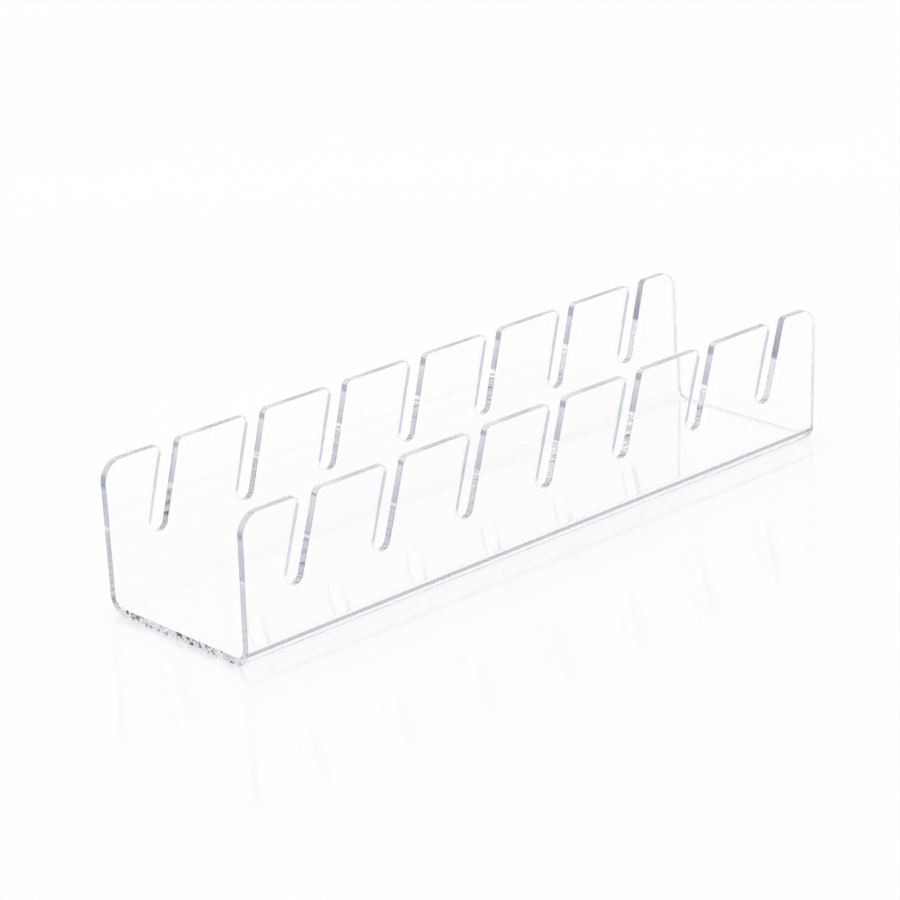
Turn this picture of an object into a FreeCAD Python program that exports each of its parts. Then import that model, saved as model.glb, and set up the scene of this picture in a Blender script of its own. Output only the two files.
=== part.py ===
import FreeCAD, Part

import math
import os

# Slotted rack: one clear acrylic sheet, cut flat with a row of slots along each long side, then
# bent up along two lines into a channel. The channel runs along X, the front wall is at -Y, and
# the origin is on the surface that the rack stands on, under its middle.
# The sheet is one piece. It is held here as five touching regions, split where the bends begin
# and end: a flat base, two bends and two slotted walls.

# Driving dimensions, in millimetres and degrees
foot_width = 66.0           # across Y, where the outer wall faces would meet the table
height = 49.5               # from the table to the outer top edge of a wall
sheet = 2.5                 # thickness of the acrylic
bend_inner_radius = 3.5     # inside radius of both bends
splay = 1.0                 # degrees that each wall leans outward
slot_count = 7
slot_pitch = 35.3           # from slot to slot along X
slot_width = 6.4            # across a slot, square to its sides
slot_lean = 15.5            # degrees that a slot leans from upright, its mouth toward +X
slot_floor = 21.5           # up the wall from the table to the bottom of a slot
first_slot_inset = 22.4     # from the -X end to the middle of the first slot
last_slot_inset = 23.8      # from the middle of the last slot to the +X end
mouth_radius = 2.2          # rounding of the tooth corners beside a slot's mouth
end_corner_radius = 7.0     # rounding of a wall's top corners at the ends of the rack

cut_reach = 2.0             # how far a cutter stands past the face that it cuts through
touching = 0.01             # places nearer than this count as the same

# Derived sizes
splay_angle = math.radians(splay)
lean_angle = math.radians(slot_lean)
length = first_slot_inset + (slot_count - 1) * slot_pitch + last_slot_inset
bend_outer_radius = bend_inner_radius + sheet
bend_angle = math.pi / 2 - splay_angle

# A wall is drawn flat in the plane of its outer face, with z running up its slope from the line
# where that face would meet the table. It starts where its bend ends.
wall_start = bend_outer_radius * math.tan(bend_angle / 2)
wall_top = height / math.cos(splay_angle)
slot_middle = (slot_floor + wall_top) / 2
bend_centre_y = foot_width / 2 - wall_start

X_AXIS = FreeCAD.Vector(1, 0, 0)
Y_AXIS = FreeCAD.Vector(0, 1, 0)
ORIGIN = FreeCAD.Vector(0, 0, 0)


def box_between(low, high):
    """Solid box from its lowest corner to its highest."""
    size = [far - near for near, far in zip(low, high)]
    return Part.makeBox(*size, FreeCAD.Vector(*low))


def slot_cutter(index):
    """A slot's space: a straight shank over a round bottom, leaned about the slot's middle."""
    half_width = slot_width / 2
    middle_x = -length / 2 + first_slot_inset + index * slot_pitch
    below = (slot_middle - slot_floor - half_width) / math.cos(lean_angle)
    above = (wall_top - slot_middle) / math.cos(lean_angle) + slot_width
    shank = box_between(
        (middle_x - half_width, -cut_reach, slot_middle - below),
        (middle_x + half_width, sheet + cut_reach, slot_middle + above),
    )
    round_bottom = Part.makeCylinder(
        half_width,
        sheet + 2 * cut_reach,
        FreeCAD.Vector(middle_x, -cut_reach, slot_middle - below),
        Y_AXIS,
    )
    cutter = shank.fuse(round_bottom)
    cutter.rotate(FreeCAD.Vector(middle_x, 0, slot_middle), Y_AXIS, slot_lean)
    return cutter


def top_corners(wall):
    """The edges that cross the sheet's thickness at the top of a flat wall."""
    corners = []
    for edge in wall.Edges:
        start, end = [vertex.Point for vertex in edge.Vertexes]
        crosses_sheet = abs(end.y - start.y) > sheet - touching
        at_top = min(start.z, end.z) > wall_top - touching
        if crosses_sheet and at_top:
            corners.append(edge)
    return corners


def is_at_end(corner):
    """True for a top corner that is also an end of the rack."""
    return abs(corner.Vertexes[0].Point.x) > length / 2 - touching


def flat_wall():
    """A slotted wall lying in its own plane: outer face on y = 0, thickness toward +Y."""
    wall = box_between((-length / 2, 0, wall_start), (length / 2, sheet, wall_top))
    for index in range(slot_count):
        wall = wall.cut(slot_cutter(index))
    mouth_corners = [corner for corner in top_corners(wall) if not is_at_end(corner)]
    wall = wall.makeFillet(mouth_radius, mouth_corners)
    end_corners = [corner for corner in top_corners(wall) if is_at_end(corner)]
    return wall.makeFillet(end_corner_radius, end_corners)


def front_wall():
    """The wall at -Y, leaned outward about the line where its outer face meets the table."""
    wall = flat_wall()
    wall.rotate(ORIGIN, X_AXIS, splay)
    wall.translate(FreeCAD.Vector(0, -foot_width / 2, 0))
    return wall


def bend_point(radius, angle):
    """Point on the front bend at the -X end, its angle counted from straight down toward -Y."""
    return FreeCAD.Vector(
        -length / 2,
        -bend_centre_y - radius * math.sin(angle),
        bend_outer_radius - radius * math.cos(angle),
    )


def bend_arc(radius):
    """The bend's arc at one radius, from the base to the wall."""
    points = [bend_point(radius, angle) for angle in (0, bend_angle / 2, bend_angle)]
    return Part.Arc(*points).toShape()


def front_bend():
    """The rounded stretch of sheet between the base and the front wall."""
    edges = [
        bend_arc(bend_outer_radius),
        Part.makeLine(bend_point(bend_outer_radius, bend_angle), bend_point(bend_inner_radius, bend_angle)),
        bend_arc(bend_inner_radius),
        Part.makeLine(bend_point(bend_inner_radius, 0), bend_point(bend_outer_radius, 0)),
    ]
    outline = Part.Wire(edges)
    return Part.Face(outline).extrude(FreeCAD.Vector(length, 0, 0))


def base_panel():
    """The flat floor of the channel, which the rack stands on."""
    return box_between((-length / 2, -bend_centre_y, 0), (length / 2, bend_centre_y, sheet))


def rear_of(front_piece):
    """The matching piece on the +Y side."""
    return front_piece.mirror(ORIGIN, Y_AXIS)


nodes = {
    "base_panel": base_panel(),
    "front_bend": front_bend(),
    "rear_bend": rear_of(front_bend()),
    "front_wall": front_wall(),
    "rear_wall": rear_of(front_wall()),
}

os.makedirs("parts", exist_ok=True)
for name, shape in nodes.items():
    shape.exportStep(f"parts/{name}.step")
    print(f"{name}: {shape.Volume / 1000:.2f} cm3, {len(shape.Solids)} solid")
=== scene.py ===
import math

import bmesh
import bpy
from mathutils import Matrix, Vector


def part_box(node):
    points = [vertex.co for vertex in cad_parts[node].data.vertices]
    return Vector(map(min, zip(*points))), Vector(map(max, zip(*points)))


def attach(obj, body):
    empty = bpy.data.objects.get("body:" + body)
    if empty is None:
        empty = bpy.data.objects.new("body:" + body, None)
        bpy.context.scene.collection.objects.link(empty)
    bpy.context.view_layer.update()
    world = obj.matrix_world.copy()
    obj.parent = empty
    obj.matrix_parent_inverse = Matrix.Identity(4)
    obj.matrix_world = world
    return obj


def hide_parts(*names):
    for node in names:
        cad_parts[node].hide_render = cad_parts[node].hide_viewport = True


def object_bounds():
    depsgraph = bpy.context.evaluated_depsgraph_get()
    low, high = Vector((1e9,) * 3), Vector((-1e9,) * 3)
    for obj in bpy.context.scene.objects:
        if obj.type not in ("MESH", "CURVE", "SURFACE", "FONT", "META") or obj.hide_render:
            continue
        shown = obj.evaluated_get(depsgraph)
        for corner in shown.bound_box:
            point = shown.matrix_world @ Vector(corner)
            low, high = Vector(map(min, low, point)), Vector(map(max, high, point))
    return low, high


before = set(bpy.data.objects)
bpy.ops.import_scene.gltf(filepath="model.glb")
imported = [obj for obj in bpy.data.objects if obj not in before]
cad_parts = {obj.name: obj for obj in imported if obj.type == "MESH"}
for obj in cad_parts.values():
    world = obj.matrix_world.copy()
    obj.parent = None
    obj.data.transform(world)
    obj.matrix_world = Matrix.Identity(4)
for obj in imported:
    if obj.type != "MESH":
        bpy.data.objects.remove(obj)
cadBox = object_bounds()
scene = bpy.context.scene
mm = 0.001


# sRGB hex to linear
def linearColour(hexCode):
    channels = [int(hexCode[i:i + 2], 16) / 255 for i in (1, 3, 5)]
    linear = [c / 12.92 if c <= 0.04045 else ((c + 0.055) / 1.055) ** 2.4 for c in channels]
    return (*linear, 1.0)


# Adds a node; an input is given a plain value or another node's socket
def addNode(tree, kind, settings=None, inputs=None):
    node = tree.nodes.new(kind)
    for name, value in (settings or {}).items():
        setattr(node, name, value)
    for name, value in (inputs or {}).items():
        if isinstance(value, bpy.types.NodeSocket):
            tree.links.new(value, node.inputs[name])
        else:
            node.inputs[name].default_value = value
    return node


# Camera
cameraView = {
    "lens": 125.86,             # mm, on a sensor 36 mm wide
    "sensor": 36.0,
    "azimuth": -42.96,          # degrees round from looking along +Y
    "elevation": 20.57,
    "roll": -2.07,
    "aim": (-0.7, 13.8, 22.0),  # mm
    "distance": 1040.5,
    "clipStart": 0.05,          # m
    "clipEnd": 60,
}


def placeCamera(view):
    data = bpy.data.cameras.new("camera")
    data.lens = view["lens"]
    data.sensor_width = view["sensor"]
    data.clip_start = view["clipStart"]
    data.clip_end = view["clipEnd"]
    camera = bpy.data.objects.new("camera", data)
    scene.collection.objects.link(camera)
    azimuth, elevation, roll = [math.radians(view[name]) for name in ("azimuth", "elevation", "roll")]
    back = Vector((
        math.sin(azimuth) * math.cos(elevation),
        -math.cos(azimuth) * math.cos(elevation),
        math.sin(elevation),
    ))
    level = Vector((math.cos(azimuth), math.sin(azimuth), 0))
    right = level * math.cos(roll) + back.cross(level) * math.sin(roll)
    up = back.cross(right)
    place = (Vector(view["aim"]) + back * view["distance"]) * mm
    camera.matrix_world = Matrix.Translation(place) @ Matrix((right, up, back)).transposed().to_4x4()
    scene.camera = camera


placeCamera(cameraView)
print("camera placed")


# Acrylic sheet, in millimetres: cut flat, then folded up along both long sides
rack = {
    "sheet": 2.5,
    "bendInnerRadius": 3.5,
    "splay": 1.0,               # degrees that each wall leans outward
    "slots": 7,
    "slotPitch": 35.3,
    "slotWidth": 6.4,
    "slotLean": 15.5,           # degrees
    "slotFloor": 21.5,
    "firstSlotInset": 22.4,
    "mouthRadius": 2.2,
    "endCornerRadius": 7.0,
    "rim": 0.15,                # tiny round left on every cut rim
    "rimSteps": 2,
    "arcStep": 6.0,             # degrees from point to point round an arc
    "bendSteps": 24,
    "pointGap": 0.015,          # outline points nearer than this are one
    "flatFace": 0.999,          # a face whose normal is this upright belongs to the sheet's clear faces
}
low, high = [corner / mm for corner in cadBox]
splay = math.radians(rack["splay"])
bendAngle = math.pi / 2 - splay
bendOuterRadius = rack["bendInnerRadius"] + rack["sheet"]
bendMiddleRadius = rack["bendInnerRadius"] + rack["sheet"] / 2
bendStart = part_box("base_panel")[1].y / mm              # where the flat base ends, across the sheet
bendEnd = bendStart + bendMiddleRadius * bendAngle      # and where the wall begins
wallStart = bendOuterRadius * math.tan(bendAngle / 2)   # that line's height up the wall's slope
wallTop = (high.z - rack["sheet"] * math.sin(splay)) / math.cos(splay)
blankEdge = bendEnd + wallTop - wallStart


# Corners of one slot, from -X to +X: mouth, bottom, bottom, mouth
def slotCorners(index, side):
    lean = math.radians(rack["slotLean"])
    half = rack["slotWidth"] / 2
    along = Vector((math.sin(lean), math.cos(lean)))
    across = Vector((math.cos(lean), -math.sin(lean)))
    middleHeight = (rack["slotFloor"] + wallTop) / 2
    middle = Vector((low.x + rack["firstSlotInset"] + index * rack["slotPitch"], middleHeight))
    bottom = middle - along * (middleHeight - rack["slotFloor"] - half) / math.cos(lean) - along * half
    corners = []
    for way in (-1, 1):
        flank = middle + across * half * way
        mouth = flank + along * (wallTop - flank.y) / math.cos(lean)
        pair = [(mouth, rack["mouthRadius"]), (bottom + across * half * way, half)]
        corners += pair[::-way]
    return [(point.x, side * (bendEnd + point.y - wallStart), radius) for point, radius in corners]


# The flat blank's outline, each corner with its rounding
def blankCorners():
    edges = []
    for side in (-1, 1):
        edge = [(low.x, side * blankEdge, rack["endCornerRadius"])]
        for index in range(rack["slots"]):
            edge += slotCorners(index, side)
        edge.append((high.x, side * blankEdge, rack["endCornerRadius"]))
        edges.append(edge)
    return edges[0] + edges[1][::-1]


# Every corner becomes an arc; a slot's bottom turns the other way round from its mouth
def roundedOutline(corners):
    points = []
    for index, (x, y, radius) in enumerate(corners):
        here = Vector((x, y))
        before = (Vector(corners[index - 1][:2]) - here).normalized()
        after = (Vector(corners[(index + 1) % len(corners)][:2]) - here).normalized()
        halfOpening = before.angle(after) / 2
        centre = here + (before + after).normalized() * radius / math.sin(halfOpening)
        spoke = here + before * radius / math.tan(halfOpening) - centre
        turn = math.pi - 2 * halfOpening
        steps = math.ceil(math.degrees(turn) / rack["arcStep"])
        way = 1 if before.cross(after) < 0 else -1
        for step in range(steps + 1):
            angle = way * turn * step / steps
            point = centre + Vector((
                spoke.x * math.cos(angle) - spoke.y * math.sin(angle),
                spoke.x * math.sin(angle) + spoke.y * math.cos(angle),
            ))
            if not points or (point - points[-1]).length > rack["pointGap"]:
                points.append(point)
    return points


# A point of the flat blank, after the two sides are bent up
def folded(point):
    side = 1 if point.y > 0 else -1
    reach = abs(point.y)
    if reach <= bendStart:
        return Vector((point.x, point.y, point.z))
    angle = min(reach - bendStart, bendEnd - bendStart) / bendMiddleRadius
    radius = bendOuterRadius - point.z
    straight = max(reach - bendEnd, 0)
    return Vector((
        point.x,
        side * (bendStart + radius * math.sin(angle) + straight * math.cos(angle)),
        bendOuterRadius - radius * math.cos(angle) + straight * math.sin(angle),
    ))


# One closed mesh with no seams: cut flat, rims eased, then folded over the two lines
def acrylicSheet():
    blank = bmesh.new()
    cutEdge = blank.faces.layers.float.new("cutEdge")
    outline = [blank.verts.new((point.x, point.y, 0)) for point in roundedOutline(blankCorners())]
    underside = blank.faces.new(outline)
    raised = bmesh.ops.extrude_face_region(blank, geom=[underside])
    topVerts = [part for part in raised["geom"] if isinstance(part, bmesh.types.BMVert)]
    bmesh.ops.translate(blank, verts=topVerts, vec=(0, 0, rack["sheet"]))
    bmesh.ops.recalc_face_normals(blank, faces=blank.faces)
    rims = [edge for edge in blank.edges if abs(edge.verts[0].co.z - edge.verts[1].co.z) < rack["rim"]]
    bmesh.ops.bevel(
        blank, geom=rims, offset=rack["rim"], offset_type="OFFSET",
        segments=rack["rimSteps"], profile=0.5, affect="EDGES", clamp_overlap=False,
    )
    for face in blank.faces:
        face[cutEdge] = 0.0 if abs(face.normal.z) > rack["flatFace"] else 1.0
        face.smooth = True
    for side in (-1, 1):
        for step in range(rack["bendSteps"] + 1):
            line = side * (bendStart + (bendEnd - bendStart) * step / rack["bendSteps"])
            everything = blank.verts[:] + blank.edges[:] + blank.faces[:]
            bmesh.ops.bisect_plane(blank, geom=everything, plane_co=(0, line, 0), plane_no=(0, 1, 0))
    flatPlace = blank.verts.layers.float_vector.new("flatPlace")   # mm, before folding
    for vert in blank.verts:
        vert[flatPlace] = vert.co
        vert.co = folded(vert.co) * mm
    mesh = bpy.data.meshes.new("acrylicSheet")
    blank.to_mesh(mesh)
    blank.free()
    sheet = bpy.data.objects.new("acrylicSheet", mesh)
    scene.collection.objects.link(sheet)
    shading = sheet.modifiers.new("shading", "WEIGHTED_NORMAL")
    shading.mode = "FACE_AREA"
    shading.weight = 100
    return sheet


# Acrylic surface, sizes in millimetres
acrylic = {
    "ior": 1.49,
    "tint": "#f2f1f8",
    "density": 1.5,             # per metre
    "slotRoughness": 0.05,      # laser cut, melted smooth
    "endRoughness": 0.15,
    "endFrostAndGlow": 0.45,           # the lower part of the sawn ends is left a little matte, and its pale lilac is a painted glow for light carried inside the sheet
    "frostAndGlowColour": "#d6d6ea",
    "topRoughness": 0.3,        # sawn, then buffed
    "topBand": 0.3,             # what counts as the top edge, down from the highest point
    "strokeWidth": 2.0,         # from one polishing ripple to the next along a cut edge
    "strokeDetail": 2.0,
    "strokeDepth": 0.0015,
    "strokeRun": 0.15,          # how much slower the ripple changes through the sheet than along it
    "sawnDepth": 0.01,          # saw marks left on the ends of the base
    "upperCutShadeColour": "#9b9eb2",    # painted shade on the upper part of the cuts, grey for the darker room they would show, placed as given
    "slotShadeFrom": 35.7,       # height where it begins in the slots
    "endShadeFrom": 28.6,        # and at the two ends of the rack
    "shadeAtTop": 0.55,
    "shadeBorder": 0.4,
    "paintedSparkleColour": "#20242f",    # painted reflection: near-black speckles along the cut faces of the base for the sawn ends' sparkle, placed as given
    "sparkleSize": 1.6,
    "sparkleDetail": 3.0,
    "sparkleRoughness": 0.6,
    "sparkleFrom": 0.54,           # noise level where a painted speckle begins
    "sparkleBorder": 0.06,
    "foldShadeColour": "#9a9fb0",    # painted shade: a grey band on the outer skin of the front fold, for the dark line along it
    "foldShadeLine": 0.95,           # its middle, below the place where the fold ends
    "foldShadeHalfWidth": 0.35,
    "foldShadeBorder": 0.45,
}


# 1 where all the masks are 1
def allOf(tree, *masks):
    together = masks[0]
    for mask in masks[1:]:
        together = addNode(tree, "ShaderNodeMath", {"operation": "MULTIPLY"}, {
            0: together, 1: mask}).outputs[0]
    return together


# Where a spot of the surface lies on the flat blank, and masks for the parts of the sheet
def sheetPlaces(tree):
    at = {}
    at["cut"] = addNode(tree, "ShaderNodeAttribute", {"attribute_name": "cutEdge"}).outputs["Fac"]
    at["flat"] = addNode(tree, "ShaderNodeAttribute", {"attribute_name": "flatPlace"}).outputs["Vector"]
    along, across, through = addNode(tree, "ShaderNodeSeparateXYZ", {}, {"Vector": at["flat"]}).outputs
    at["across"] = across
    at["through"] = through
    fromMiddle = addNode(tree, "ShaderNodeMath", {"operation": "ABSOLUTE"}, {0: along}).outputs[0]
    reach = addNode(tree, "ShaderNodeMath", {"operation": "ABSOLUTE"}, {0: across}).outputs[0]
    at["height"] = addNode(tree, "ShaderNodeMath", {"operation": "SUBTRACT"}, {
        0: reach, 1: bendEnd - wallStart}).outputs[0]
    at["ends"] = addNode(tree, "ShaderNodeMath", {"operation": "GREATER_THAN"}, {
        0: fromMiddle, 1: high.x - rack["endCornerRadius"]}).outputs[0]
    at["top"] = addNode(tree, "ShaderNodeMath", {"operation": "GREATER_THAN"}, {
        0: at["height"], 1: wallTop - acrylic["topBand"]}).outputs[0]
    offBase = addNode(tree, "ShaderNodeMath", {"operation": "GREATER_THAN"}, {
        0: reach, 1: bendStart}).outputs[0]
    offWall = addNode(tree, "ShaderNodeMath", {"operation": "LESS_THAN"}, {
        0: reach, 1: bendEnd}).outputs[0]
    at["wallEnd"] = allOf(tree, at["ends"], offBase)
    at["baseEnd"] = allOf(tree, at["cut"], offWall)
    for name, begin in (("highInSlots", acrylic["slotShadeFrom"]), ("highAtEnds", acrylic["endShadeFrom"])):
        at[name] = addNode(tree, "ShaderNodeMapRange", {"interpolation_type": "SMOOTHSTEP"}, {
            "Value": at["height"],
            "From Min": begin - acrylic["shadeBorder"],
            "From Max": begin + acrylic["shadeBorder"],
        }).outputs["Result"]
    for name, opposite in (("top", "belowTop"), ("wallEnd", "offWallEnd"), ("highAtEnds", "lowAtEnds")):
        at[opposite] = addNode(tree, "ShaderNodeMath", {"operation": "SUBTRACT"}, {
            0: 1.0, 1: at[name]}).outputs[0]
    return at


# Painted shade: grey on the upper cut faces, above a set height in the slots and at the ends, fading toward
# the top
def upperCutShadeMask(tree, at):
    highCuts = addNode(tree, "ShaderNodeMath", {"operation": "MAXIMUM"}, {
        0: at["highInSlots"], 1: allOf(tree, at["ends"], at["highAtEnds"])}).outputs[0]
    fade = addNode(tree, "ShaderNodeMapRange", {"interpolation_type": "SMOOTHSTEP"}, {
        "Value": at["height"],
        "From Min": acrylic["slotShadeFrom"],
        "From Max": wallTop,
        "To Min": 1.0,
        "To Max": acrylic["shadeAtTop"],
    }).outputs["Result"]
    return allOf(tree, highCuts, at["cut"], at["belowTop"], fade)


# Painted shade: a grey band along the outer skin of the front fold
def foldShadeMask(tree, at):
    offset = addNode(tree, "ShaderNodeMath", {"operation": "ADD"}, {
        0: at["across"], 1: bendEnd - acrylic["foldShadeLine"]}).outputs[0]
    aside = addNode(tree, "ShaderNodeMath", {"operation": "ABSOLUTE"}, {0: offset}).outputs[0]
    line = addNode(tree, "ShaderNodeMapRange", {"interpolation_type": "SMOOTHSTEP"}, {
        "Value": aside,
        "From Min": acrylic["foldShadeHalfWidth"] + acrylic["foldShadeBorder"],
        "From Max": acrylic["foldShadeHalfWidth"],
    }).outputs["Result"]
    outerSkin = addNode(tree, "ShaderNodeMath", {"operation": "LESS_THAN"}, {
        0: at["through"], 1: rack["sheet"] / 2}).outputs[0]
    return allOf(tree, line, outerSkin)


# Painted reflection: near-black speckles from noise on the cut faces of the base
def paintedSparkleMask(tree, at):
    grain = addNode(tree, "ShaderNodeTexNoise", {}, {
        "Vector": at["flat"],
        "Scale": 1 / acrylic["sparkleSize"],
        "Detail": acrylic["sparkleDetail"],
        "Roughness": acrylic["sparkleRoughness"],
    }).outputs["Fac"]
    sparkles = addNode(tree, "ShaderNodeMapRange", {"interpolation_type": "SMOOTHSTEP"}, {
        "Value": grain,
        "From Min": acrylic["sparkleFrom"],
        "From Max": acrylic["sparkleFrom"] + acrylic["sparkleBorder"],
    }).outputs["Result"]
    return allOf(tree, sparkles, at["baseEnd"])


# Laser-cut slots are melted nearly smooth, the sawn ends and the buffed tops are rougher
def cutRoughness(tree, at):
    onTop = allOf(tree, at["top"], acrylic["topRoughness"] - acrylic["slotRoughness"])
    slotsAndTop = addNode(tree, "ShaderNodeMath", {"operation": "ADD"}, {
        0: acrylic["slotRoughness"], 1: onTop}).outputs[0]
    withEnds = addNode(tree, "ShaderNodeMath", {"operation": "MAXIMUM"}, {
        0: slotsAndTop, 1: allOf(tree, at["wallEnd"], acrylic["endRoughness"])}).outputs[0]
    return allOf(tree, withEnds, at["cut"])


# Polishing ripple on the cut edges, deeper saw marks on the ends of the base
def rippleNormal(tree, at):
    stretched = addNode(tree, "ShaderNodeVectorMath", {"operation": "MULTIPLY"}, {
        0: at["flat"], 1: (1, 1, acrylic["strokeRun"])}).outputs["Vector"]
    ripple = addNode(tree, "ShaderNodeTexNoise", {}, {
        "Vector": stretched,
        "Scale": 1 / acrylic["strokeWidth"],
        "Detail": acrylic["strokeDetail"],
    }).outputs["Fac"]
    sawn = allOf(tree, at["baseEnd"], acrylic["sawnDepth"] / acrylic["strokeDepth"])
    depth = addNode(tree, "ShaderNodeMath", {"operation": "ADD"}, {0: at["offWallEnd"], 1: sawn}).outputs[0]
    return addNode(tree, "ShaderNodeBump", {}, {
        "Strength": 1.0,
        "Distance": acrylic["strokeDepth"] * mm,
        "Height": allOf(tree, ripple, at["cut"], depth),
    }).outputs["Normal"]


# Clear cast acrylic, as made between polished plates: the broad faces are glassy and the light that
# runs inside the sheet comes out at its cuts, so the edges look greyer than the faces; the upper cuts are
# also painted grey as painted shade. The painted shade along the front fold, the near-black speckles
# painted on the base's cut faces as painted reflection and the pale lilac painted glow on the matte
# lower ends are painted on the sheet itself and stay put from every side.
def clearCastAcrylic():
    material = bpy.data.materials.new("clearCastAcrylic")
    material.use_nodes = True
    tree = material.node_tree
    tree.nodes.clear()
    at = sheetPlaces(tree)
    # Matte frost on the lower part of the two ends; its pale lilac is a painted glow for light carried
    # inside the sheet
    frostAndGlow = allOf(tree, at["wallEnd"], at["cut"], at["lowAtEnds"], acrylic["endFrostAndGlow"])
    marks = (
        (upperCutShadeMask(tree, at), "upperCutShadeColour"),
        (foldShadeMask(tree, at), "foldShadeColour"),
        (paintedSparkleMask(tree, at), "paintedSparkleColour"),
        (frostAndGlow, "frostAndGlowColour"),
    )
    colour = (1, 1, 1, 1)
    for mask, name in marks:    # a colour mix has its factor at 0 and its colours at 6 and 7
        colour = addNode(tree, "ShaderNodeMix", {"data_type": "RGBA"}, {
            0: mask, 6: colour, 7: linearColour(acrylic[name])}).outputs[2]
    surface = addNode(tree, "ShaderNodeBsdfPrincipled", {}, {
        "Base Color": colour,
        "IOR": acrylic["ior"],
        "Transmission Weight": addNode(tree, "ShaderNodeMath", {"operation": "SUBTRACT"}, {
            0: 1.0, 1: frostAndGlow}).outputs[0],
        "Roughness": cutRoughness(tree, at),
        "Normal": rippleNormal(tree, at),
    })
    body = addNode(tree, "ShaderNodeVolumeAbsorption", {}, {
        "Color": linearColour(acrylic["tint"]),
        "Density": acrylic["density"],
    })
    addNode(tree, "ShaderNodeOutputMaterial", {}, {
        "Surface": surface.outputs["BSDF"], "Volume": body.outputs["Volume"]})
    return material


sheet = acrylicSheet()
sheet.data.materials.append(clearCastAcrylic())
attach(sheet, "root")
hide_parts("base_panel", "front_bend", "rear_bend", "front_wall", "rear_wall")
print("acrylic sheet:", len(sheet.data.vertices), "points")


# Table and studio
studio = {
    "tableSize": 8.0,           # m
    "tableCells": 4,
    "floorGap": 0.05,           # mm
    "floor": "#fefefd",
    "floorRoughness": 0.1,
    "plain": 1.0,
    "room": "#d0d3de",          # pale walls between the lit panels
    "panels": [                 # degrees: azimuth from +X, elevation, half width and height, soft border
        {"azimuth": 47, "elevation": 0, "halfWidth": 50, "halfHeight": 38, "soft": 12},
        {"azimuth": 0, "elevation": 90, "halfWidth": 180, "halfHeight": 35, "soft": 10},
    ],
    "beforeTable": 0.5,         # fewer diffuse bounces than this: the table hasn't been reached yet
    "clearBounces": 64,         # light runs a long way inside the sheet
    "diffuseBounces": 8,
}


# White painted board, rolled smooth, so that it mirrors the rack faintly
def tableTop():
    shape = bmesh.new()
    cells = studio["tableCells"]
    bmesh.ops.create_grid(shape, x_segments=cells, y_segments=cells, size=studio["tableSize"] / 2)
    mesh = bpy.data.meshes.new("tableTop")
    shape.to_mesh(mesh)
    shape.free()
    floor = bpy.data.objects.new("tableTop", mesh)
    floor.location.z = -studio["floorGap"] * mm
    scene.collection.objects.link(floor)
    material = bpy.data.materials.new("whiteTable")
    material.use_nodes = True
    surface = material.node_tree.nodes["Principled BSDF"]
    surface.inputs["Base Color"].default_value = linearColour(studio["floor"])
    surface.inputs["Roughness"].default_value = studio["floorRoughness"]
    floor.data.materials.append(material)
    return floor


# 1 toward the panel and 0 elsewhere, with a soft border
def panelMask(tree, direction, panel):
    azimuth = math.radians(panel["azimuth"])
    ahead = addNode(tree, "ShaderNodeVectorMath", {"operation": "DOT_PRODUCT"}, {
        0: direction, 1: (math.cos(azimuth), math.sin(azimuth), 0)}).outputs["Value"]
    aside = addNode(tree, "ShaderNodeVectorMath", {"operation": "DOT_PRODUCT"}, {
        0: direction, 1: (-math.sin(azimuth), math.cos(azimuth), 0)}).outputs["Value"]
    turn = addNode(tree, "ShaderNodeMath", {"operation": "ARCTAN2"}, {0: aside, 1: ahead}).outputs[0]
    upward = addNode(tree, "ShaderNodeSeparateXYZ", {}, {"Vector": direction}).outputs["Z"]
    height = addNode(tree, "ShaderNodeMath", {"operation": "ARCSINE"}, {0: upward}).outputs[0]
    rise = addNode(tree, "ShaderNodeMath", {"operation": "SUBTRACT"}, {
        0: height, 1: math.radians(panel["elevation"])}).outputs[0]
    sides = []
    for angle, reach in ((turn, panel["halfWidth"]), (rise, panel["halfHeight"])):
        off = addNode(tree, "ShaderNodeMath", {"operation": "ABSOLUTE"}, {0: angle}).outputs[0]
        sides.append(addNode(tree, "ShaderNodeMapRange", {"interpolation_type": "SMOOTHSTEP"}, {
            "Value": off,
            "From Min": math.radians(reach + panel["soft"]),
            "From Max": math.radians(reach),
        }).outputs["Result"])
    return allOf(tree, *sides)


# Camera, glass and gloss all see one pale room with white panels; the table is lit plain white
def softWorld():
    world = bpy.data.worlds.new("studio")
    world.use_nodes = True
    tree = world.node_tree
    white = (studio["plain"], studio["plain"], studio["plain"], 1)
    direction = addNode(tree, "ShaderNodeTexCoord").outputs["Generated"]
    seen = linearColour(studio["room"])
    for panel in studio["panels"]:
        seen = addNode(tree, "ShaderNodeMix", {"data_type": "RGBA"}, {
            0: panelMask(tree, direction, panel), 6: seen, 7: white}).outputs[2]
    path = addNode(tree, "ShaderNodeLightPath").outputs
    looking = path["Is Glossy Ray"]
    for kind in ("Is Transmission Ray", "Is Camera Ray"):
        looking = addNode(tree, "ShaderNodeMath", {"operation": "ADD", "use_clamp": True}, {
            0: looking, 1: path[kind]}).outputs[0]
    beforeTable = addNode(tree, "ShaderNodeMath", {"operation": "LESS_THAN"}, {
        0: path["Diffuse Depth"], 1: studio["beforeTable"]}).outputs[0]
    colour = addNode(tree, "ShaderNodeMix", {"data_type": "RGBA"}, {
        0: allOf(tree, looking, beforeTable), 6: white, 7: seen}).outputs[2]
    tree.links.new(colour, tree.nodes["Background"].inputs["Color"])
    scene.world = world


tableTop()
print("table set out")
softWorld()
scene.view_settings.view_transform = "Standard"
scene.cycles.max_bounces = studio["clearBounces"]
scene.cycles.transmission_bounces = studio["clearBounces"]
scene.cycles.glossy_bounces = studio["clearBounces"]
scene.cycles.diffuse_bounces = studio["diffuseBounces"]
scene.cycles.blur_glossy = 0
print("studio ready")
